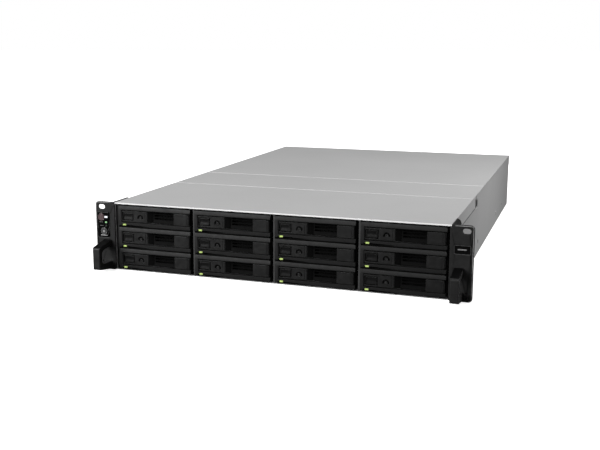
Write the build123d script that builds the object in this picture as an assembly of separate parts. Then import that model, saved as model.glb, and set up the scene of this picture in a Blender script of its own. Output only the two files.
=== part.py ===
from build123d import *
import math
import os

# Two-rack-unit network storage server with twelve hot-swap 3.5 inch drive bays.
#
# Steel chassis with a three-piece lid, a drive cage, twelve drive trays that each
# carry a lever and a release button, rack ears with pull handles, three middle
# fans, a main board and two hot-swap power supplies.
# Row frame: +X to the right seen from the front, +Y to the back, +Z up.
# The origin is the centre of the bounding box, on the underside.

# ---------------------------------------------------------------- dimensions
BODY_W = 430.5          # chassis width without ears
EAR_W = 482.4           # over the rack ears (19 inch panel)
H = 88.0                # chassis height
EAR_H = 88.9            # rack ears: two full rack units
T = 1.2                 # steel sheet
LID_T = 1.0             # lid sheet
HANDLE_OUT = 32.0       # handle reach in front of the chassis
SUPPLY_OUT = 692.0      # rear end of the supply handles
WALL_END = 662.0        # rear end of the side walls
LID_END = 668.0         # rear end of the lid
SPLIT_1 = 178.0         # front lid / middle lid
SPLIT_2 = 291.0         # middle lid / rear lid
Y_SHIFT = -(SUPPLY_OUT - HANDLE_OUT) / 2.0   # front edge of the chassis to the row origin

COLS, ROWS = 4, 3
PITCH_X, PITCH_Z = 106.2, 27.9
LAST_WALL_X = 214.65    # right chassis wall, which closes the last column
BEZEL_X0, BEZEL_W, BEZEL_H = 1.0, 101.6, 27.0   # left edge, right edge and height in the tray's own frame
BEZEL_GAP = 0.9         # partition centre to the tray frame's zero
POST_L, POST_R, POST_Y = 0.7, 1.7, 0.3          # partition's front hem: to each side of its centre, and its front plane
ROW0_Z = 2.05           # underside of the lowest bezel
FRONT_Y = -2.0          # front plane of bezels and ears
DRIVE_W, DRIVE_L, DRIVE_H = 101.6, 147.0, 26.1
SLED_X0, SLED_X1 = 1.0, 104.2

LEVER_PIN_X, LEVER_PIN_Y = 97.2, 1.75
PIN_R, PIN_HOLE_R = 1.20, 1.25

EAR_IN, EAR_OUT, EAR_T = 216.0, EAR_W / 2.0, 2.5
SLOT_X, SLOT_Z, SLOT_L, SLOT_R = 232.55, 82.0, 9.4, 2.95
SCREW_X, SCREW_Z = 234.4, 6.4
HANDLE_X0, HANDLE_X1 = 219.6, 230.1

FAN_X = (-140.0, 0.0, 140.0)
FAN_Y0, FAN_D, FAN_S, FAN_Z = 205.0, 38.0, 80.0, 43.7

SUPPLY_X0 = (-211.5, -136.5)
SUPPLY_W, SUPPLY_H, SUPPLY_Z0 = 73.0, 39.5, 2.0
SUPPLY_Y0, SUPPLY_Y1 = 478.0, 663.5

RAIL_Y = (242.0, 463.5, 553.5)
RAIL_Z, RAIL_R = 18.2, 2.1

OUT = "parts"
os.makedirs(OUT, exist_ok=True)
count = 0


def bx(x0, x1, y0, y1, z0, z1):
    return Pos((x0 + x1) / 2, (y0 + y1) / 2, (z0 + z1) / 2) * Box(x1 - x0, y1 - y0, z1 - z0)


def cyl_y(x, z, r, y0, y1):
    return Pos(x, (y0 + y1) / 2, z) * Rot(90, 0, 0) * Cylinder(r, y1 - y0)


def cyl_x(y, z, r, x0, x1):
    return Pos((x0 + x1) / 2, y, z) * Rot(0, 90, 0) * Cylinder(r, x1 - x0)


def cyl_z(x, y, r, z0, z1):
    return Pos(x, y, (z0 + z1) / 2) * Cylinder(r, z1 - z0)


def slab_x(points, x0, x1):
    """Polygon given as (y, z) points, extruded from x0 to x1."""
    face = make_face(Polyline(*[(x0, y, z) for y, z in points], close=True))
    return extrude(face, amount=x1 - x0, dir=(1, 0, 0))


def slab_z(points, z0, z1):
    face = make_face(Polyline(*[(x, y, z0) for x, y in points], close=True))
    return extrude(face, amount=z1 - z0, dir=(0, 0, 1))


def slab_y(points, y0, y1):
    face = make_face(Polyline(*[(x, y0, z) for x, z in points], close=True))
    return extrude(face, amount=y1 - y0, dir=(0, 1, 0))


def rounded_y(x0, x1, z0, z1, r, y0, y1):
    """Rounded rectangle in X and Z, extruded along Y."""
    plane = Plane(origin=((x0 + x1) / 2, y0, (z0 + z1) / 2), x_dir=(1, 0, 0), z_dir=(0, 1, 0))
    return extrude(plane * RectangleRounded(x1 - x0, z1 - z0, r), amount=y1 - y0)


def save(name, *solids):
    global count
    flat = []
    for s in solids:
        flat += list(s.solids())
    moved = [Pos(0, Y_SHIFT, 0) * s for s in flat]
    shape = moved[0] if len(moved) == 1 else Compound(children=moved)
    export_step(shape, os.path.join(OUT, name + ".step"))
    count += 1


def mirror_x(shape):
    return mirror(shape, about=Plane.YZ)


def partition_x(k):
    """Centre of partition k, 0 to 4; 4 is the right chassis wall."""
    return LAST_WALL_X - PITCH_X * (COLS - k)


# ---------------------------------------------------------------- chassis pan
half = BODY_W / 2
inner = half - T
floor_sheet = bx(-inner, inner, 2.0, WALL_END, 0, T)
walls = []
for s in (-1, 1):
    lo, hi = sorted((s * inner, s * half))
    wall = bx(lo, hi, 2.0, WALL_END, 0, H - LID_T - 0.1)
    # the side wall steps in under the front lid's flange
    lo, hi = sorted((s * (half - 0.6), s * (half + 1)))
    wall -= bx(lo, hi, 0.0, 213.0, 71.4, H)
    # open notch behind the flange
    lo, hi = sorted((s * (inner - 1), s * (half + 1)))
    wall -= bx(lo, hi, 202.0, 213.0, 70.5, 82.0)
    for y in RAIL_Y:
        wall -= cyl_x(y, RAIL_Z, RAIL_R, min(s * (inner - 2), s * (half + 2)), max(s * (inner - 2), s * (half + 2)))
    walls.append(wall)
# guide ledges of the last column on the right wall
ledges = []
for r in range(1, ROWS):
    z = ROW0_Z + PITCH_Z * r
    ledges.append(bx(inner - 1.4, inner, 12.0, 170.0, z - 0.75, z - 0.25))

rear = bx(-inner, inner, WALL_END - T, WALL_END, T, H - LID_T - 0.1)
for s in (-1, 1):   # corner notches for the rear lid's guide flanges
    lo, hi = sorted((s * 212.4, s * (inner + 1)))
    rear -= bx(lo, hi, WALL_END - 3, WALL_END + 1, 78.0, H)
for x0 in SUPPLY_X0:
    rear -= bx(x0 - 0.6, x0 + SUPPLY_W + 0.6, WALL_END - 3, WALL_END + 1, SUPPLY_Z0 - 0.4, SUPPLY_Z0 + SUPPLY_H + 0.5)
# ports: (x centre, half width, z0, z1)
LAN = [(-41.0 + 18.5 * i, 8.0, 9.7, 23.2) for i in range(4)]
USB = [(40.5, 7.4, 9.7, 16.9), (58.5, 7.4, 9.7, 16.9)]
SAS = [(80.5, 12.0, 9.7, 19.7), (107.5, 12.0, 9.7, 19.7)]
for x, w, z0, z1 in LAN + USB + SAS:
    rear -= bx(x - w - 0.3, x + w + 0.3, WALL_END - 3, WALL_END + 1, z0 - 0.3, z1 + 0.3)
SLOT_COVER_X = (140.0, 163.0, 186.0)
for x in SLOT_COVER_X:
    rear -= bx(x - 7.5, x + 7.5, WALL_END - 3, WALL_END + 1, 9.0, 78.0)
# vent fields: above the supplies and above the ports
for i in range(22):
    x = -205.0 + 6.6 * i
    for z in (46.5, 58.5):
        rear -= bx(x, x + 3.8, WALL_END - 3, WALL_END + 1, z, z + 9.5)
for i in range(25):
    x = -43.0 + 6.6 * i
    for z in (30.0, 42.0, 54.0):
        rear -= bx(x, x + 3.8, WALL_END - 3, WALL_END + 1, z, z + 9.5)
for x in (-200.0, 198.0):   # holes for the lid's captive screws
    rear -= cyl_y(x, 77.5, 1.7, WALL_END - 3, WALL_END + 1)

slot_covers = [
    bx(x - 9.0, x + 9.0, WALL_END - T - 1.2, WALL_END - T - 0.2, 6.5, 80.0) for x in SLOT_COVER_X
]
# supply bay: two dividers and a top sheet
bay = [
    bx(-138.0, -137.0, SUPPLY_Y0 - 8, WALL_END - T - 0.3, T, 42.4),
    bx(-63.0, -62.0, SUPPLY_Y0 - 8, WALL_END - T - 0.3, T, 42.4),
    bx(-inner, -62.0, SUPPLY_Y0 - 8, WALL_END - T - 0.3, 42.4, 43.4),
]
save("chassis_pan", floor_sheet, *walls, *ledges, rear, *slot_covers, *bay)

# ---------------------------------------------------------------- lids
lid = bx(-half, half, 0.0, SPLIT_1 - 0.4, H - LID_T, H)
lid += bx(-half, half, 0.0, 1.0, 86.3, H)
for s in (-1, 1):
    lo, hi = sorted((s * (half - 0.55), s * half))
    lid += bx(lo, hi, 1.0, SPLIT_1 - 0.4, 71.6, H)
    lid += bx(lo, hi, 1.0, 202.0, 71.6, H - LID_T - 0.1)
save("front_lid", lid)


def lid_panel(y0, y1):
    sheet = bx(-half, half, y0, y1, H - LID_T, H)
    for s in (-1, 1):
        lo, hi = sorted((s * 212.9, s * 213.7))
        sheet += bx(lo, hi, y0 + 3, y1 - 12, 79.5, H - LID_T + 0.2)
    return sheet


save("fan_bay_lid", lid_panel(SPLIT_1 + 0.4, SPLIT_2 - 0.4))

rear_lid = lid_panel(SPLIT_2 + 0.4, LID_END)
rear_lid += bx(-half, half, LID_END - LID_T, LID_END, 71.5, H)
for s in (-1, 1):
    lo, hi = sorted((s * (half - LID_T), s * half))
    rear_lid += bx(lo, hi, WALL_END + 0.3, LID_END, 71.5, H)
captive = []
for x in (-200.0, 198.0):
    rear_lid -= cyl_y(x, 77.5, 1.9, LID_END - 3, LID_END + 1)
    knob = cyl_y(x, 77.5, 4.6, LID_END + 0.1, LID_END + 6.0)
    knob += cyl_y(x, 77.5, 1.5, WALL_END + 1.0, LID_END + 0.2)
    knob -= bx(x - 0.6, x + 0.6, LID_END + 4.8, LID_END + 7, 70, 85)
    captive.append(knob)
save("rear_lid", rear_lid, *captive)

# ---------------------------------------------------------------- drive cage
cage = []
for k in range(COLS):
    x = partition_x(k)
    wall = bx(x - 0.6, x + 0.6, 7.0, 174.0, T + 0.1, 86.2)
    wall += bx(x - POST_L, x + POST_R, POST_Y, 8.0, T + 0.1, 86.2)   # folded front hem
    wall -= bx(x - 1, x + 1, 60.0, 118.0, 33.0, 53.0)      # air window
    for r in range(1, ROWS):
        z = ROW0_Z + PITCH_Z * r
        if k > 0:
            wall += bx(x - 2.1, x - 0.6, 12.0, 170.0, z - 0.75, z - 0.25)
        wall += bx(x + 0.6, x + 3.1, 12.0, 170.0, z - 0.75, z - 0.25)
    cage.append(wall)
# black filler strip between the left wall and the first partition
cage.append(bx(-213.9, partition_x(0) - POST_L - 0.05, 3.0, 5.0, T + 0.2, 86.2))
save("drive_cage", *cage)

# ---------------------------------------------------------------- backplane
board = bx(-209.0, 212.5, 175.6, 177.2, 3.0, 84.5)
sockets = []
for k in range(COLS):
    cx = partition_x(k) + 0.6 + 52.5
    for r in range(ROWS):
        z = ROW0_Z + PITCH_Z * r
        board -= bx(cx - 40, cx - 8, 170, 180, z + 12.0, z + 24.5)
        board -= bx(cx + 10, cx + 42, 170, 180, z + 12.0, z + 24.5)
        sockets.append(bx(cx - 36, cx + 6, 171.4, 175.6, z + 2.0, z + 8.6) - bx(cx - 34.5, cx + 4.5, 171, 174.0, z + 4.6, z + 6.0))
for x in (-170.0, -60.0, 60.0, 170.0):
    sockets.append(bx(x - 12, x + 12, 177.2, 187.0, 62.5, 72.0))
save("backplane", board, *sockets)

# ---------------------------------------------------------------- drive tray
def tray_parts():
    w, h = BEZEL_W, BEZEL_H
    bezel = slab_x([(8.0, 0.0), (-1.1, 0.0), (-2.0, 1.2), (-2.0, 22.9), (-0.7, h), (8.0, h)], BEZEL_X0, w)
    bezel &= rounded_y(BEZEL_X0, w + 8, 0.0, h, 0.8, -3.0, 9.0)
    bezel &= rounded_y(BEZEL_X0 - 8, w, 0.0, h, 2.2, -3.0, 9.0)
    bezel -= bx(5.5, w + 1, -3.0, 6.0, 5.6, 21.7)                 # lever pocket, open to the right
    bezel -= bx(46.0, 92.0, 5.0, 9.0, 7.5, 20.5)                  # air window
    bezel -= bx(7.15, 11.65, -3.0, 9.0, 1.65, 3.75)               # light pipe hole
    bezel -= cyl_z(LEVER_PIN_X, LEVER_PIN_Y, PIN_HOLE_R, 3.9, 23.2)
    bezel -= bx(3.2, 6.0, 2.0, 5.0, 10.5, 17.5)                   # catch for the lever's latch

    sled = bx(SLED_X0, SLED_X1, 8.0, 172.0, -0.1, 18.0)
    sled -= bx(SLED_X0 + 0.7, SLED_X1 - 0.7, 9.2, 173.0, 0.6, 19.0)
    sled -= bx(46.0, 92.0, 7.0, 10.0, 7.5, 19.5)
    sled -= bx(18.0, 86.0, 30.0, 90.0, -1.0, 2.0)
    sled -= bx(18.0, 86.0, 100.0, 160.0, -1.0, 2.0)
    for y in (40.0, 132.0):
        sled -= bx(-1.0, 106.0, y - 6.0, y + 6.0, 12.5, 19.0)

    d0 = 171.0 - DRIVE_L
    x0 = (SLED_X0 + SLED_X1 - DRIVE_W) / 2
    drive = bx(x0, x0 + DRIVE_W, d0, d0 + DRIVE_L, 0.8, 24.2)
    lid_pts = [(x0 + 1.5, d0 + 1.5), (x0 + DRIVE_W - 1.5, d0 + 1.5), (x0 + DRIVE_W - 1.5, d0 + 118), (x0 + DRIVE_W - 12, d0 + 128),
               (x0 + DRIVE_W - 12, d0 + 144), (x0 + 12, d0 + 144), (x0 + 12, d0 + 128), (x0 + 1.5, d0 + 118)]
    drive += slab_z(lid_pts, 24.0, 26.9)
    drive -= bx(x0 + 12.0, x0 + 64.0, d0 + DRIVE_L - 5.0, d0 + DRIVE_L + 1, -1, 5.0)

    pipe = rounded_y(7.3, 11.5, 1.75, 3.65, 0.8, -2.3, 7.5)
    return bezel, sled, drive, pipe


def lever_part():
    z0, z1 = 6.1, 20.7
    plate = bx(5.9, LEVER_PIN_X, -0.6, 4.5, z0, z1)
    plate += cyl_z(LEVER_PIN_X, LEVER_PIN_Y, 2.75, z0, z1)
    plate += bx(5.9, 41.4, -1.5, 0.0, 6.8, z1)                    # raised plate round the button and the lock
    plate += bx(78.8, 96.4, -1.3, 0.0, z0, z1)                    # raised pull block
    plate -= bx(6.6, 22.3, -3.0, 6.0, 8.4, 18.7)                  # button opening
    plate -= bx(38.6, 39.1, -3.0, -1.1, 7.4, z1 + 1)              # fine groove right of the lock
    # scoop with a sloping floor and a sloping left side
    plate -= slab_x([(-3.0, z1 + 1), (2.6, z1 + 1), (2.6, 11.0), (1.7, 6.9), (-3.0, 6.3)], 48.6, 78.6)
    plate -= slab_z([(42.2, -0.6), (42.2, -3.0), (48.7, -3.0), (48.7, 2.6)], 6.9, z1 + 1)
    for lo, hi in ((11.2, 13.2), (14.8, 17.2), (18.6, 20.0)):
        plate -= bx(50.4, 77.6, -3.0, 6.0, lo, hi)
    # arched recess of the lock and its round plug
    arch = cyl_y(32.1, 12.5, 4.0, -3.0, -0.3) - bx(20, 45, -5, 2, 0, 12.5)
    arch += bx(28.1, 36.1, -3.0, -0.3, 11.2, 12.55)
    arch -= cyl_y(32.1, 12.5, 2.15, -4.0, 1.0)
    arch -= bx(29.95, 34.25, -4.0, 1.0, 9.0, 12.5)
    plate -= arch
    plate -= cyl_y(32.1, 12.5, 1.7, -3.0, 1.2)
    plate += cyl_z(LEVER_PIN_X, LEVER_PIN_Y, PIN_R, 4.3, 22.9)
    plate += bx(24.0, 44.0, 4.4, 5.4, 8.0, 19.0)                  # rear rib that carries the latch
    plug = cyl_y(32.1, 12.5, 1.6, -1.35, 1.2) - bx(31.8, 32.4, -3.0, -0.6, 11.4, 13.6)
    return plate, plug


def button_part():
    b = bx(7.4, 21.3, -0.9, 3.6, 9.0, 17.9)
    b -= slab_x([(-2.0, 9.6), (-0.9, 9.6), (-0.35, 12.0), (-0.35, 15.0), (-0.9, 17.3), (-2.0, 17.3)], 8.6, 20.2)
    return b


bezel, sled, drive, pipe = tray_parts()
lever, plug = lever_part()
button = button_part()
n = 0
for r in reversed(range(ROWS)):
    for k in range(COLS):
        n += 1
        loc = Pos(partition_x(k) + BEZEL_GAP, 0, ROW0_Z + PITCH_Z * r)
        save(f"drive_tray_{n:02d}", loc * bezel, loc * sled, loc * drive, loc * pipe)
        save(f"tray_lever_{n:02d}", loc * lever, loc * plug)
        save(f"release_button_{n:02d}", loc * button)

# ---------------------------------------------------------------- rack ears
def ear(right=True):
    plate = rounded_y(EAR_IN, EAR_OUT, 0.0, EAR_H, 4.6, FRONT_Y, FRONT_Y + EAR_T)
    plate += bx(EAR_IN, EAR_IN + 6.0, FRONT_Y, FRONT_Y + EAR_T, 0.0, EAR_H)
    wing = slab_x([(FRONT_Y, 1.0), (60.0, 1.0), (68.0, 12.0), (68.0, 74.5), (65.5, 77.5), (58.0, 82.8), (36.0, EAR_H), (FRONT_Y, EAR_H)], half + 0.1, half + 1.7)
    plate += wing
    plate += bx(213.8, EAR_IN + 1, FRONT_Y, -0.1, 0.6, 86.1)        # inner flange in front of the chassis wall
    slot = Pos(SLOT_X, 0, SLOT_Z) * Rot(90, 0, 0) * extrude(SlotOverall(SLOT_L, 2 * SLOT_R), amount=20, both=True)
    plate -= slot
    return plate


e = ear()
right_ear = e - rounded_y(218.8, 237.6, 55.2, 65.6, 1.9, FRONT_Y - 1, FRONT_Y + 1.0)
right_ear -= cyl_y(SCREW_X, SCREW_Z, 1.7, -10, 10)
save("right_ear", right_ear)
left_ear = mirror_x(e) - rounded_y(-238.8, -221.0, 42.2, 75.2, 2.2, FRONT_Y - 1, FRONT_Y + 1.2)
POWER = (-233.2, 68.4, 4.3)
MUTE = (-229.7, 50.2, 4.0)
for x, z, rr in (POWER, MUTE):
    left_ear -= cyl_y(x, z, rr - 0.6, -10, 10)
left_ear -= cyl_y(-SCREW_X, SCREW_Z, 1.7, -10, 10)
save("left_ear", left_ear)


def handle():
    y0 = FRONT_Y
    body = slab_x([(y0, 1.0), (-30.5, 5.4), (-HANDLE_OUT, 7.0), (-HANDLE_OUT, 32.8), (-30.5, 34.4), (y0, 39.8)], HANDLE_X0, HANDLE_X1)
    gap = slab_x([(y0 + 1, 11.4), (-22.0, 11.9), (-25.8, 14.5), (-25.8, 26.6), (-22.0, 29.4), (y0 + 1, 32.2)], HANDLE_X0 - 5, HANDLE_X1 + 5)
    body -= gap
    front = body.edges().filter_by(Axis.Z).filter_by_position(Axis.Y, -HANDLE_OUT - 0.1, -HANDLE_OUT + 0.1)
    return chamfer(front, 1.0)


h = handle()
save("ear_handles", h, mirror_x(h))

# glossy inset panels: control panel with its lenses, and the name plate
panel = rounded_y(-238.6, -221.2, 42.4, 75.0, 2.0, FRONT_Y - 0.25, FRONT_Y + 1.2)
for x, z, rr in (POWER, MUTE):
    panel -= cyl_y(x, z, rr, -10, 10)
LENSES = [(-226.4, 68.8, 4.2, 2.2), (-226.6, 61.9, 2.6, 1.8), (-226.6, 57.3, 2.6, 1.8)]
lenses = []
for x, z, w, hh in LENSES:
    panel -= rounded_y(x - w / 2 - 0.05, x + w / 2 + 0.05, z - hh / 2 - 0.05, z + hh / 2 + 0.05, 0.5, -10, 10)
    lenses.append(rounded_y(x - w / 2, x + w / 2, z - hh / 2, z + hh / 2, 0.45, FRONT_Y - 0.4, FRONT_Y + 1.1))
plate = rounded_y(219.0, 237.4, 55.4, 65.4, 1.7, FRONT_Y - 0.2, FRONT_Y + 1.0)
save("ear_panels", panel, plate, *lenses)

for name, (x, z, rr) in (("power_button", POWER), ("mute_button", MUTE)):
    cap = cyl_y(x, z, rr - 0.25, FRONT_Y - 0.95, FRONT_Y - 0.1)
    cap += cyl_y(x, z, rr - 0.9, FRONT_Y - 0.5, FRONT_Y + 4.0)
    cap -= cyl_y(x, z, rr - 1.4, FRONT_Y - 2.0, FRONT_Y - 0.65)
    cap += cyl_y(x, z, 1.2, FRONT_Y - 0.9, FRONT_Y + 0.1)
    save(name, cap)

# ---------------------------------------------------------------- fans
def fan_frame(x):
    f = bx(x - 40, x + 40, FAN_Y0, FAN_Y0 + FAN_D, FAN_Z - 40, FAN_Z + 40)
    f -= cyl_y(x, FAN_Z, 38.3, FAN_Y0 - 1, FAN_Y0 + FAN_D + 1)
    # relief between the two flanges
    for sx in (-1, 1):
        for sz in (-1, 1):
            cx0, cx1 = sorted((x + sx * 31.5, x + sx * 41))
            cz0, cz1 = sorted((FAN_Z + sz * 31.5, FAN_Z + sz * 41))
            f -= bx(cx0, cx1, FAN_Y0 + 4, FAN_Y0 + FAN_D - 4, cz0, cz1)
            f -= cyl_y(x + sx * 35.75, FAN_Z + sz * 35.75, 2.2, FAN_Y0 - 1, FAN_Y0 + FAN_D + 1)
    hub = cyl_y(x, FAN_Z, 15.5, FAN_Y0 + FAN_D - 4.0, FAN_Y0 + FAN_D)
    hub -= cyl_y(x, FAN_Z, 2.6, FAN_Y0 + FAN_D - 5.0, FAN_Y0 + FAN_D - 0.5)    # bearing
    for a in (45, 135, 225, 315):
        spoke = Pos(x, 0, FAN_Z) * Rot(0, a, 0) * bx(14.0, 39.5, FAN_Y0 + FAN_D - 3.6, FAN_Y0 + FAN_D - 0.6, -1.2, 1.2)
        hub += spoke
    return f + hub


fan_wall = bx(-212.5, 212.5, 199.0, 200.2, T + 0.1, 86.0)
for x in FAN_X:
    fan_wall -= cyl_y(x, FAN_Z, 37.5, 190, 210)
fan_rails = []
for x in FAN_X:
    for s in (-1, 1):
        lo, hi = sorted((x + s * 40.4, x + s * 41.4))
        fan_rails.append(bx(lo, hi, 200.3, FAN_Y0 + FAN_D + 3, T + 0.1, 60.0))
save("fan_frames", *[fan_frame(x) for x in FAN_X], fan_wall, *fan_rails)


def rotor(x):
    hub = cyl_y(x, FAN_Z, 16.0, FAN_Y0 + 4.0, FAN_Y0 + FAN_D - 6.0)
    hub -= cyl_y(x, FAN_Z, 13.8, FAN_Y0 + 8.0, FAN_Y0 + FAN_D - 5.0)
    hub += cyl_y(x, FAN_Z, 2.5, FAN_Y0 + 5.0, FAN_Y0 + FAN_D - 0.8)
    for i in range(7):
        blade = Pos(0, FAN_Y0 + 17.5, 0) * Rot(38, 0, 0) * bx(14.5, 35.8, -13.5, 13.5, -0.8, 0.8)
        hub += Pos(x, 0, FAN_Z) * Rot(0, 360.0 / 7 * i, 0) * blade
    return hub


for i, x in enumerate(FAN_X):
    save(f"fan_rotor_{i + 1}", rotor(x))

# ---------------------------------------------------------------- main board
BX0, BX1, BY0, BY1, BZ = -58.0, 205.0, 330.0, 656.0, 8.0
pcb = bx(BX0, BX1, BY0, BY1, BZ, BZ + 1.6)
bits = []
for x in (BX0 + 8, 70.0, BX1 - 8):
    for y in (BY0 + 10, 490.0, BY1 - 16):
        pcb -= cyl_z(x, y, 1.9, BZ - 1, BZ + 3)
        bits.append(cyl_z(x, y, 3.0, T + 0.05, BZ) - cyl_z(x, y, 1.4, 4, BZ + 1))
top = BZ + 1.6
CPU = (60.0, 430.0)
bits.append(bx(CPU[0] - 24, CPU[0] + 24, CPU[1] - 26, CPU[1] + 26, top, top + 5.4))
for i, x in enumerate((112.0, 122.0, 150.0, 160.0)):       # memory sockets and modules
    bits.append(bx(x - 3.2, x + 3.2, 362, 504, top, top + 6.0) - bx(x - 0.8, x + 0.8, 366, 500, top + 2.0, top + 9))
    m = bx(x - 0.65, x + 0.65, 366.5, 499.5, top + 2.1, top + 33.0)
    for j in range(8):
        m += bx(x - 1.75, x + 1.75, 372 + j * 16.2, 382 + j * 16.2, top + 12.0, top + 26.0)
    bits.append(m)
for i in range(6):                                          # regulator coils and capacitors
    bits.append(bx(CPU[0] - 33 + i * 12, CPU[0] - 25 + i * 12, 385, 393, top, top + 7.0))
    bits.append(cyl_z(CPU[0] - 29 + i * 12, 376, 3.1, top, top + 9.5))
for x, y, w, d, hh in ((10.0, 560.0, 18, 18, 2.2), (60.0, 590.0, 12, 12, 1.8), (-30.0, 600.0, 9, 9, 1.8), (95.0, 600.0, 11, 8, 1.8), (150.0, 560.0, 20, 20, 2.4)):
    bits.append(bx(x - w, x + w, y - d, y + d, top, top + hh))
bits.append(cyl_z(-30.0, 520.0, 10.0, top, top + 4.5))      # clock battery
bits.append(bx(-55.0, -45.0, 350, 402, top, top + 12.0))    # power connector
for x in SLOT_COVER_X:
    bits.append(bx(x - 3.6, x + 3.6, 540 if x > 150 else 555, 645, top, top + 11.0) - bx(x - 0.9, x + 0.9, 543 if x > 150 else 558, 642, top + 3, top + 12))
save("main_board", pcb, *bits)

sink = bx(CPU[0] - 34, CPU[0] + 34, CPU[1] - 30, CPU[1] + 30, top + 5.5, top + 10.0)
for i in range(23):
    x = CPU[0] - 33.4 + i * 3.0
    sink += bx(x, x + 0.8, CPU[1] - 30, CPU[1] + 30, top + 9.8, 70.0)
screws = [cyl_z(CPU[0] + sx * 38.5, CPU[1] + sy * 22.0, 2.6, top, top + 12.0) for sx in (-1, 1) for sy in (-1, 1)]
save("cpu_heatsink", sink, *screws)

# ---------------------------------------------------------------- ports
MOUTH = WALL_END + 1.0
ports = []
for x, w, z0, z1 in LAN:
    p = bx(x - w, x + w, MOUTH - 20.0, MOUTH, z0, z1)
    p -= bx(x - 6.0, x + 6.0, MOUTH - 15.0, MOUTH + 1, z0 + 2.2, z0 + 11.4)
    ports.append(p)
for x, w, z0, z1 in USB:
    p = bx(x - w, x + w, MOUTH - 16.0, MOUTH, z0, z1)
    p -= bx(x - 6.5, x + 6.5, MOUTH - 13.0, MOUTH + 1, z0 + 0.8, z1 - 0.8)
    ports.append(p)
for x, w, z0, z1 in SAS:
    p = bx(x - w, x + w, MOUTH - 20.0, MOUTH, z0, z1)
    p -= bx(x - 10.5, x + 10.5, MOUTH - 14.0, MOUTH + 1, z0 + 1.5, z1 - 1.5)
    ports.append(p)
save("io_ports", *ports)

# ---------------------------------------------------------------- power supplies
for i, x0 in enumerate(SUPPLY_X0):
    x1 = x0 + SUPPLY_W
    z0, z1 = SUPPLY_Z0, SUPPLY_Z0 + SUPPLY_H
    sx = x0 + 19.0                                          # inlet centre
    case = bx(x0, x1, SUPPLY_Y0, SUPPLY_Y1, z0, z1)
    case -= bx(sx - 13.6, sx + 13.6, SUPPLY_Y1 - 21.0, SUPPLY_Y1 + 1, 12.0, 31.5)
    case -= bx(x1 - 7.6, x1 + 1.0, SUPPLY_Y1 - 26.0, SUPPLY_Y1 + 1, 9.0, 34.0)   # latch channel
    fx, fz = x0 + 50.5, 21.75
    for a in range(5):                                      # fan outlet: nested square slots
        z = fz - 15.0 + a * 6.6
        case -= bx(fx - 13.6, fx + 13.6, SUPPLY_Y1 - 3.0, SUPPLY_Y1 + 1, z, z + 3.4)
    case -= bx(x0 + 24, x1 - 14, SUPPLY_Y0 - 1, SUPPLY_Y0 + 3, 7.0, 36.0)         # front air grille recess
    inlet = bx(sx - 13.5, sx + 13.5, SUPPLY_Y1 - 20.9, SUPPLY_Y1 + 0.8, 12.1, 31.4)
    inlet -= bx(sx - 12.2, sx + 12.2, SUPPLY_Y1 - 15.5, SUPPLY_Y1 + 2, 13.5, 30.0)
    pins = [
        bx(sx - 8.0, sx - 6.0, SUPPLY_Y1 - 15.6, SUPPLY_Y1 - 4.4, 15.8, 19.8),
        bx(sx + 6.0, sx + 8.0, SUPPLY_Y1 - 15.6, SUPPLY_Y1 - 4.4, 15.8, 19.8),
        bx(sx - 1.0, sx + 1.0, SUPPLY_Y1 - 15.6, SUPPLY_Y1 - 4.4, 22.6, 26.6),
    ]
    hx = x0 + 35.2
    loop = slab_x([(SUPPLY_Y1, 6.0), (688.0, 6.0), (SUPPLY_OUT, 10.0), (SUPPLY_OUT, 33.5), (688.0, 37.5), (SUPPLY_Y1, 37.5)], hx - 2.2, hx + 1.8)
    loop -= bx(hx - 5, hx + 5, SUPPLY_Y1 - 1, 687.5, 10.5, 33.0)
    save(f"power_supply_{i + 1}", case, inlet, *pins, loop)
    latch = bx(x1 - 4.4, x1 - 2.9, SUPPLY_Y1 - 25.0, SUPPLY_Y1 + 9.0, 12.0, 31.0)
    latch += slab_z([(x1 - 4.4, SUPPLY_Y1 + 7.6), (x1 - 4.4, SUPPLY_Y1 + 12.0), (x1 - 0.4, SUPPLY_Y1 + 12.0), (x1 - 2.9, SUPPLY_Y1 + 7.6)], 12.0, 31.0)
    latch += bx(x1 - 3.0, x1 - 0.4, SUPPLY_Y1 - 25.0, SUPPLY_Y1 - 19.0, 17.0, 26.0)
    save(f"supply_latch_{i + 1}", latch)

# ---------------------------------------------------------------- fasteners
fast = []
for s in (-1, 1):
    # recessed-head screws at the foot of each handle
    head = cyl_y(s * SCREW_X, SCREW_Z, 3.1, FRONT_Y - 1.6, FRONT_Y)
    head += cyl_y(s * SCREW_X, SCREW_Z, 1.6, FRONT_Y - 0.5, FRONT_Y + 8.0)
    head -= bx(s * SCREW_X - 2.4, s * SCREW_X + 2.4, -6.0, FRONT_Y - 0.8, SCREW_Z - 0.4, SCREW_Z + 0.4)
    head -= bx(s * SCREW_X - 0.4, s * SCREW_X + 0.4, -6.0, FRONT_Y - 0.8, SCREW_Z - 2.4, SCREW_Z + 2.4)
    fast.append(head)
    for y, z in ((24.0, 20.0), (24.0, 62.0), (54.0, 20.0), (54.0, 62.0)):
        lo, hi = sorted((s * (half + 1.75), s * (half + 2.9)))
        c = cyl_x(y, z, 3.0, lo, hi)
        fast.append(c)
for x in (-60.0, 128.0, 208.0):
    fast.append(cyl_y(x, 82.0, 2.6, WALL_END + 0.05, WALL_END + 1.6))
save("fasteners", *fast)

print("files", count)
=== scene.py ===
"""Looks of a two-rack-unit network storage server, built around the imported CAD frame."""

import bpy
import bmesh
import math
from mathutils import Vector, Matrix


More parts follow.
